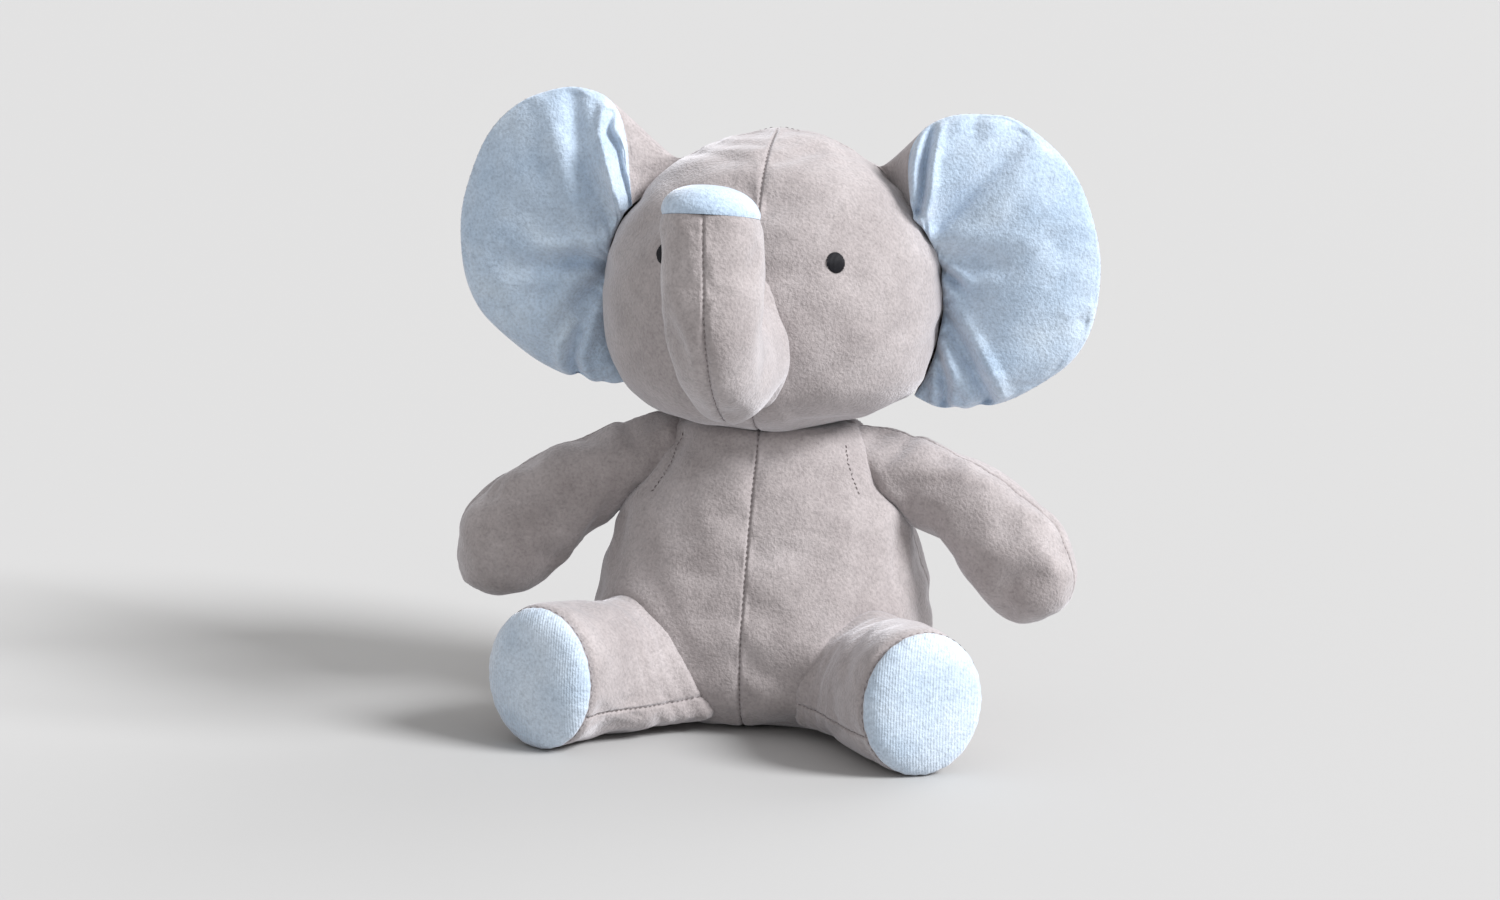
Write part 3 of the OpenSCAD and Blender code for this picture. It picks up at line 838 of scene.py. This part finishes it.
LEG_SEAM = 27  # how far below the leg's middle its two seams run, as an angle
LEG_CREASES = ((8, 0.7), (14.5, 0.5), (22, 0.3))  # distance from the torso, and depth
SOLE_SEAM = (50.1, 24.3, 25.4)
SOLE_DOME = [(49.4, 22.8, 24.0)]
SOLE_DOME += [dome_row(a, 50.6, 8.2, 24.2, 25.3, 0.62) for a in (0, 10, 24, 40, 56, 70, 80)]
SOLE_DOME += [(58.8, 0, 0)]
for name, limb in LEGS.items():
    rows = smooth_table(LEG_TABLE, 56)
    bend = ("torso", "leg_" + name, limb.root - limb.along * 6, limb.root + limb.along * 14)

    def leg_drop(p, limb=limb):
        gap = outside(p, torso_size)
        s = (p - limb.root) @ limb.along
        drop = junction(gap, LEG_REACH, LEG_FOLD_DEPTH, LEG_FOLD_WIDTH)
        drop = drop + 0.6 * waves(p, 36, 31) + 0.25 * waves(p, 17, 32)
        for ring, depth in LEG_CREASES:
            drop -= depth * np.exp(-((gap - ring - 1.5 * waves(p, 30, 33)) / 2.0) ** 2)
        drop -= 1.2 * np.exp(-((50 - s) / 1.2) ** 2)
        low = np.clip((p[..., 2] - 1.0) / 6, 0, 1)
        return drop * (0.15 + 0.85 * low)

    for half, start, stop, columns, seeds, inside in (
            ("upper", -LEG_SEAM, 180 + LEG_SEAM, 84, (13, 14), ["leg_filling_" + name]),
            ("lower", 180 + LEG_SEAM, 360 - LEG_SEAM, 60, (14, 13), [])):
        ring_panel("leg_" + name, f"leg_cover_{half}_{name}", rows, limb.place, start, stop, columns,
                   leg_drop, shift=lambda p: leg_shape(p, limb), nodes=[f"leg_{half}_{name}"] + inside,
                   bend=bend, seams=(seeds, {}), stitches=f"leg_stitches_{half}_{name}", first=6)

    turn = np.linspace(0, 360, 217)
    sole = leg_shape(ring_grid(smooth_table(SOLE_DOME, 40), limb.place, turn), limb)
    inset = np.linalg.norm(sole - sole[-1:, :1], axis=-1)
    edge = inset.max(0)[None, :] - inset
    spin = np.radians(turn)
    gathers = 0.09 * (np.sin(spin * 29 + 2.5 * np.sin(spin * 4)) + 0.8 * np.sin(spin * 17 + 1))[None, :]
    gathers = gathers * np.exp(-(edge / 4.5) ** 2)
    swells = 0.5 * waves(sole, 26, 35) * np.clip(edge / 8, 0, 1)
    sole = on_floor(sole + grid_normals(sole) * (gathers + swells)[..., None])
    panel("leg_" + name, "sole_cover_" + name, sole, BLUE_RIBBED, ["sole_" + name], slot="blue_velour",
          body="leg_" + name, fill=0.95, sides=False)
    ring = leg_shape(ring_grid(np.array([SOLE_SEAM] * 2), limb.place, np.linspace(-60, 240, 160))[0], limb)
    out = ring - (limb.root + limb.along * 50)
    out = out / np.linalg.norm(out, axis=1, keepdims=True)
    stitch_row("sole_stitches_" + name, on_floor(ring), out, sink=0.9, pitch=3.1, length=1.7, radius=0.15,
               body="leg_" + name)

# ---------------------------------------------------------------- trunk

TRUNK_ROOT = np.array([0.0, -65.0, 151.1])
# The trunk leaves the face pointing down by the dip, runs straight, and bends up to the top angle
TRUNK_DIP, TRUNK_TOP, TRUNK_STRAIGHT, TRUNK_BEND, TRUNK_LEAN = -12.0, 99.0, 5.0, 26.0, 9.5
TRUNK_ARC = TRUNK_BEND * math.radians(TRUNK_TOP - TRUNK_DIP)
TRUNK_TABLE = [
    (-14, 15.5, 29), (-9, 15.4, 27), (-2, 15.4, 25), (8, 15.8, 22.8), (20, 16.2, 20.8), (32, 17.4, 19.6),
    (44, 18.4, 18.8), (56, 19.0, 18.6), (70, 19.0, 18.6), (80, 18.8, 18.4), (84.5, 18.3, 18.0),
]


def trunk_place(s, x, y):
    a = np.radians(TRUNK_DIP + np.clip((s - TRUNK_STRAIGHT) / TRUNK_ARC, 0, 1) * (TRUNK_TOP - TRUNK_DIP))
    dip = math.radians(TRUNK_DIP)
    before, after = np.minimum(s, TRUNK_STRAIGHT), np.maximum(0, s - TRUNK_STRAIGHT - TRUNK_ARC)
    normal = np.stack([0 * a, np.sin(a), np.cos(a)], -1)
    heading = np.stack([0 * a, -np.cos(a), np.sin(a)], -1)
    first = np.array([0, math.sin(dip), math.cos(dip)])
    root = TRUNK_ROOT + before[..., None] * np.array([0, -math.cos(dip), math.sin(dip)])
    middle = root + TRUNK_BEND * (first - normal) + after[..., None] * heading
    lean = TRUNK_LEAN * (np.maximum(s, 0) / 90.0) ** 1.3
    lean = lean + 3.0 * np.clip((s + 22) / 20, 0, 1) - 2.0 * np.clip((s - 50) / 35, 0, 1)
    x = x * (1 + 0.24 * np.clip(-y / 24, 0, 1) * np.clip(1 - s / 40, 0, 1))  # broad underneath, near the face
    y = y + 2.5 * np.clip(1 - s / 30, 0, 1)
    return middle + y[..., None] * normal + np.stack([x - lean, 0 * x, 0 * x], -1)


def trunk_drop(p):
    drop = 0.5 * waves(p, 30, 41) + 0.2 * waves(p, 14, 42)
    drop += junction(outside(p, head_size), 5.0, 1.6, 1.6)
    elbow = [(-22, -78, 172), (-6, -88, 178), (10, -84, 176), (17, -76, 168)]
    return drop + crease(p, np.array(elbow, float), 1.6, 2.6, (0.2, 1, 1, 0.3))


TRUNK_BLEND = ("head", "trunk", (0, -57, 151), (0, -76, 149))
rows = smooth_table(TRUNK_TABLE, 84)
for name, start, seeds, inside in (("left", -90, (15, 16), ["trunk_filling"]), ("right", 90, (16, 15), [])):
    ring_panel("trunk", f"trunk_cover_{name}", rows, trunk_place, start, start + 180, 76, trunk_drop,
               nodes=["trunk_" + name] + inside, bend=TRUNK_BLEND, fill=0.95,
               seams=(seeds, dict(valley=0.35, groove=0.8)),
               stitches="trunk_stitches" if name == "left" else None)
dome = [(84.6, 18.1, 17.9)]
dome += [dome_row(a, 85.6, 10.8, 18.5, 18.3, 0.8) for a in (4, 16, 32, 50, 68, 80)]
dome += [(96.5, 0, 0)]
tip = ring_grid(smooth_table(dome, 30), trunk_place, np.linspace(0, 360, 121))
panel("trunk", "trunk_tip_cover", tip, BLUE, ["trunk_tip"], slot="blue_velour", body="trunk", sides=False)

# ---------------------------------------------------------------- ears

# Rim seam, from the lowest point at the head, round the outside, over the top and down the rolled edge
EAR_RIM = [
    (58.5, 6, 130), (68, 4, 127.6), (79, 2, 128.4), (88, 0, 130.6), (99.5, -3, 136), (113.5, -6, 146),
    (122, -8, 154.5), (127.5, -9, 165.5), (130, -10, 180), (129.4, -11, 197.5), (123.6, -11, 217),
    (116, -11, 230.5), (105, -11, 240.5), (93, -10, 246), (82, -9, 248.2), (70.5, -8, 246), (64, -8, 240),
    (60, -10, 229), (58, -12.5, 216), (56.5, -13, 204),
]
# Where the blue lining meets the head, from its lowest point to the foot of the rolled edge
EAR_FRONT_ROOT = [
    (58.0, 6, 131), (61.5, 6, 137), (65.2, 5, 147), (67.6, 3.5, 160), (68.2, 1, 172), (66.4, -3, 186),
    (62, -9, 197), (56.5, -13, 204),
]
# Where the grey back meets the head, from its lowest point to the crown seam
EAR_BACK_ROOT = [
    (57.5, 8, 130), (60.5, 13, 138), (63.5, 15, 150), (65.5, 15, 164), (65, 14, 178), (61, 11, 194),
    (53, 6, 209), (38.5, 1, 223),
]


# Folds of each lining: x and z along the valley, its depth, its width, its strength along the way
EAR_FOLDS = {
    "right": [
        ([(66, 179), (77, 180), (88, 179), (112, 175)], 5.1, 3.2, (1, 0.9, 0.35, 0)),
        ([(82, 247), (79, 233), (75, 219), (66, 199)], 4.4, 4.6, (0.5, 1, 1, 0.8)),
        ([(68, 175), (78, 162), (88, 149), (92, 142)], 4.4, 3.2, (1, 1, 0.5, 0)),
        ([(75, 160), (79, 149), (82, 140), (80.5, 131)], 4.1, 2.2, (0.2, 1, 1, 0.9)),
        ([(66, 240), (66.5, 233.5), (63.3, 226), (60, 214), (57, 204)], 5.0, 1.7, (0.5, 1, 1, 0.9)),
        ([(73, 244), (71, 232), (69, 222)], 2.0, 2.6, (0.6, 1, 0)),
        ([(100, 236), (92, 218), (80, 200)], 1.5, 6.0, (0, 1, 0)),
        ([(118, 205), (98, 198), (78, 190)], 1.2, 6.0, (0, 1, 0.4)),
        ([(110, 160), (96, 166), (82, 171)], 1.4, 5.0, (0, 1, 0.4)),
    ],
    "left": [
        ([(62, 240), (61, 232), (60.2, 224), (60.2, 215), (58.5, 207)], 5.5, 1.7, (0.5, 1, 1, 0.9)),
        ([(101, 243), (94, 234), (86, 224), (66, 202)], 4.4, 4.8, (0.3, 0.9, 1, 0.9)),
        ([(67, 183), (73, 179), (79, 173.5)], 4.4, 1.9, (1, 1, 0)),
        ([(69, 165), (80, 147), (87.5, 132), (86.5, 124)], 5.8, 3.0, (0.5, 1, 1, 0.9)),
        ([(66.5, 150), (70.3, 137), (70, 127)], 4.1, 1.9, (0.4, 1, 1)),
        ([(128, 171), (122, 158)], 2.2, 3.4, (0, 1, 0)),
        ([(104, 212), (111, 198), (116, 184)], 1.7, 7.0, (0, 1, 0)),
        ([(68, 189), (80, 187), (96, 185)], 2.7, 4.4, (1, 0.7, 0)),
        ([(80, 244), (78, 234)], 1.4, 3.0, (0.8, 1, 0)),
    ],
}
# Where the lower edge is drawn in between its scallops: x, z, depth and width
EAR_NOTCHES = {"right": [(80, 129, 2.6, 3.4), (70, 128, 1.0, 3.0)],
               "left": [(84, 129, 2.2, 3.2), (74.5, 128, 1.6, 2.6)]}
EAR_SAG = {"right": -2.4, "left": 4.4}
# The left ear's top is folded in nearer to the head
EAR_LEFT_TOP = [
    (93, -10, 247), (82, -9, 247.4), (71, -8, 246), (62.5, -8, 242), (57, -9, 236.5), (54, -11, 230),
    (53.6, -12.5, 222), (54.6, -13, 213), (56.8, -13, 205),
]
EAR_HEART = np.array([92.0, 0.0, 185.0])
# Shallow folds of both backs: x and z along the valley, its depth, its width
BACK_FOLDS = [([(64, 150), (84, 148)], 1.5, 3.5), ([(64, 172), (88, 176)], 1.8, 4),
              ([(60, 196), (84, 208)], 1.6, 4), ([(66, 138), (80, 136)], 1.2, 3)]
EAR_SWEEP = 10.0  # how far back the outer rim stands


def ear_layer(name, rim, root, rows, columns, puff, toward):
    """A sheet from the root to the rim seam, puffed to one side, gathered at the root."""
    outer, inner = smooth_curve(rim, 500), smooth_curve(root, 500)
    outer[:, 1] += EAR_SWEEP * np.clip((outer[:, 0] - 66) / 60, 0, 1)
    outer[:, 2] -= EAR_SAG[name] * np.clip((outer[:, 0] - 58) / 60, 0, 1) ** 0.7
    for x, z, depth, width in EAR_NOTCHES[name]:
        pull = depth * np.exp(-(((outer[:, 0] - x) ** 2 + (outer[:, 2] - z) ** 2) / width ** 2))
        inward = EAR_HEART - outer
        inward /= np.linalg.norm(inward, axis=1, keepdims=True)
        outer += inward * pull[:, None]
    v = np.linspace(0, 1, columns)
    root_share = 1 - (1 - v) ** 1.7 if toward > 0 else v  # the back's panel is drawn up towards the crown
    a, b = inner[(root_share * 499).astype(int)], outer[(v * 499).astype(int)]
    u = edge_spacing(rows, 0.75)[:, None, None]
    grid = a[None] * (1 - u) + b[None] * u
    reach = np.linalg.norm(b - a, axis=1)[None, :]
    share = u[..., 0] + 0 * reach
    from_root, from_rim = share * reach, (1 - share) * reach
    swell = (np.sin(np.pi * share ** 0.8) ** 0.52) * np.clip(reach / 45, 0.12, 1)
    height = puff * swell
    run = running_length(a)[None, :]
    pleats = np.sin(run * 2 * np.pi / 7.1 + 1.3 * np.sin(run / 6.0)) + 0.6 * np.sin(run * 2 * np.pi / 4.3 + 2)
    height = height + 0.55 * pleats * np.exp(-from_root / 7.0) * np.clip(from_root / 1.5, 0, 1)
    ripple = np.sin(run * 1.7) * 0.5 + np.sin(run * 0.9 + 1)
    height = height + 0.3 * ripple * np.exp(-from_rim / 4.0) * np.clip(from_rim / 1.0, 0, 1)
    flat = grid * np.array([1, 0, 1])
    edge = np.clip(from_rim / 3.0, 0.0, 1)
    height = height + 0.55 * waves(flat, 34, 61 + (toward > 0)) * np.clip(swell, 0, 1)
    folds = EAR_FOLDS[name] if toward < 0 else [(*fold, (1, 0.7, 0)) for fold in BACK_FOLDS]
    for line, depth, width, shape in folds:
        points = np.array([(x, 0, z) for x, z in line], float)
        height = height + crease(flat, points, depth, width, shape) * edge
    grid[..., 1] += toward * height
    return grid


EARS = {"left": 1, "right": -1}
for name, side in EARS.items():
    mirror = np.array([side, 1, 1])
    bend = ("head", "ear_" + name, np.array([62, 5, 186]) * mirror, np.array([82, 5, 186]) * mirror)
    for layer, root, puff, toward, material, nodes, slot in (
            ("lining", EAR_FRONT_ROOT, 11.0, -1, BLUE, ["ear_lining_"], "blue_velour"),
            ("back", EAR_BACK_ROOT, 7.0, 1, GREY, ["ear_back_", "ear_filling_"], "grey_velour")):
        rim = EAR_RIM if name == "right" else EAR_RIM[:13] + EAR_LEFT_TOP
        grid = ear_layer(name, rim, root, 90, 300, puff, toward) * mirror
        flip = (toward < 0) == (side > 0)
        panel("ear_" + name, f"ear_cover_{layer}_{name}", grid, material, [node + name for node in nodes],
              slot=slot, bend=bend, fill=0.5, flip=flip, out=np.array([0.0, toward, 0.0]) + 0 * grid)
        if layer == "lining":
            rim = grid[-1, 40:]
            out = rim - EAR_HEART * mirror
            out /= np.linalg.norm(out, axis=1, keepdims=True)
            stitch_row("ear_edge_stitches_" + name, rim, out, sink=1.12, pitch=4.6, length=2.0, radius=0.16,
                       material=RIM_THREAD, bend=bend)

# ---------------------------------------------------------------- sewing up

simulate()
for q in PANELS:
    sew_up(q)
for name, seam in ARM_SEAMS.items():
    line, ups = laid_on(smooth_curve(seam, 60), ["torso_cover_front_" + name])
    stitch_row("shoulder_stitches_" + name, line, ups, sink=0.75, bend=NECK_BEND)

# ---------------------------------------------------------------- eyes and tail

FACE_TURN = math.radians(2.4)  # the eyes are sewn on a little towards the toy's right
EYE_STRANDS, EYE_RINGS, STRAND_RADIUS = 15, 13, 0.30
EYE_HALF_WIDTH, EYE_HALF_HEIGHT = 3.6, 4.1

for name, side in (("left", 1), ("right", -1)):
    low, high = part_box("eye_" + name)
    centre = (np.array(low) + np.array(high)) / 2 * PER_METRE - np.array([0, AXIS_Y * PER_METRE, 0])
    w, d = head_size(centre[2])
    angle = math.atan2(centre[1] / d, centre[0] / w) - FACE_TURN
    spot = np.array([w * math.cos(angle), d * math.sin(angle), centre[2]])
    spots, outs = laid_on([spot], [f"face_{name}_cover"])
    spot, out = spots[0], outs[0]
    across = np.cross([0, 0, 1], out)
    across /= np.linalg.norm(across)
    up = np.cross(out, across)
    points, faces = [], []
    for k in range(EYE_STRANDS):
        x = (k - (EYE_STRANDS - 1) / 2) / (EYE_STRANDS / 2)
        half = EYE_HALF_HEIGHT * math.sqrt(max(0.05, 1 - x * x))
        faces += tube_faces(len(points), EYE_RINGS)
        for i in range(EYE_RINGS):
            t = i / (EYE_RINGS - 1) * 2 - 1
            lift = 1.15 * (1 - 0.75 * t * t) * (1 - 0.55 * x * x) - 0.35
            for c in range(6):
                a = c * math.pi / 3
                aside = x * EYE_HALF_WIDTH + STRAND_RADIUS * math.cos(a)
                points.append(spot + across * aside + up * (t * half)
                              + out * (lift + STRAND_RADIUS * math.sin(a)))
    piece = make_piece("eye_stitching_" + name, np.array(points), faces, EYE_THREAD)
    settle(piece, ["eye_" + name], slot="eye_thread", body="head")

TAIL_TABLE = [(-6, 5, 5), (0, 5, 5), (8, 4.6, 4.6), (18, 4.1, 4.1), (26, 3.8, 3.8), (30, 3.0, 3.0),
              (32, 0, 0)]
droop = math.radians(41)  # of the tail, below level
tail_along = (0, math.cos(droop), -math.sin(droop))
tail_place = straight((0, 57, 30), (1, 0, 0), np.cross(tail_along, (1, 0, 0)), tail_along)
tail = ring_grid(smooth_table(TAIL_TABLE, 40), tail_place, np.linspace(0, 360, 49))
tail = tail + grid_normals(tail) * (0.3 * waves(tail, 11, 51))[..., None]
piece = grid_piece("tail_cover", tail, GREY)
settle(piece, ["tail"], bend=("torso", "tail", (0, 55, 32), (0, 64, 24)), fill=0.9)

# ---------------------------------------------------------------- stage, light and camera

floor_mesh = bpy.data.meshes.new("floor")
FLOOR = 40  # half its width, in metres
corners = [(-FLOOR, -FLOOR, 0), (FLOOR, -FLOOR, 0), (FLOOR, FLOOR, 0), (-FLOOR, FLOOR, 0)]
floor_mesh.from_pydata(corners, [], [(0, 1, 2, 3)])
floor = bpy.data.objects.new("floor", floor_mesh)
SCENE.collection.objects.link(floor)
material, _, shader = new_material("pale_floor")
set_inputs(shader, Base_Color=(0.455, 0.455, 0.455, 1), Roughness=0.9, Specular_IOR_Level=0.1)
floor_mesh.materials.append(material)

world = bpy.data.worlds.new("studio")
SCENE.world = world
world.use_nodes = True
set_inputs(world.node_tree.nodes["Background"], Color=(1.0, 0.985, 0.975, 1), Strength=0.62)


def sun(name, azimuth, elevation, strength, spread, colour):
    """Soft light from an azimuth, 0 at the viewer's right and 90 behind the toy, and an elevation."""
    a, e = math.radians(azimuth), math.radians(elevation)
    data = bpy.data.lights.new(name, "SUN")
    data.energy = strength
    data.angle = math.radians(spread)
    data.color = colour
    obj = bpy.data.objects.new(name, data)
    source = Vector((math.cos(e) * math.cos(a), math.cos(e) * math.sin(a), math.sin(e)))
    obj.rotation_euler = source.to_track_quat("Z", "Y").to_euler()
    SCENE.collection.objects.link(obj)


sun("key", -12, 38, 4.5, 22, (0.985, 0.99, 1.0))
sun("window", 60, 35, 1.0, 40, (1.0, 1.0, 1.0))

camera_data = bpy.data.cameras.new("camera")
camera_data.lens = 70.0
camera_data.sensor_width = 36.0
camera_data.clip_start = 0.01
camera = bpy.data.objects.new("camera", camera_data)
SCENE.collection.objects.link(camera)
AZIMUTH, ELEVATION, ROLL, DISTANCE = math.radians(9), math.radians(10), math.radians(1.8), 1.188
target = Vector((-0.0078, AXIS_Y, 0.1050))
level = math.cos(ELEVATION)
direction = Vector((math.sin(AZIMUTH) * level, -math.cos(AZIMUTH) * level, math.sin(ELEVATION)))
camera.location = target + direction * DISTANCE
facing = (-direction).to_track_quat("-Z", "Y").to_matrix()
camera.rotation_euler = (facing @ Euler((0, 0, ROLL)).to_matrix()).to_euler()
SCENE.camera = camera
SCENE.view_settings.view_transform = "Standard"
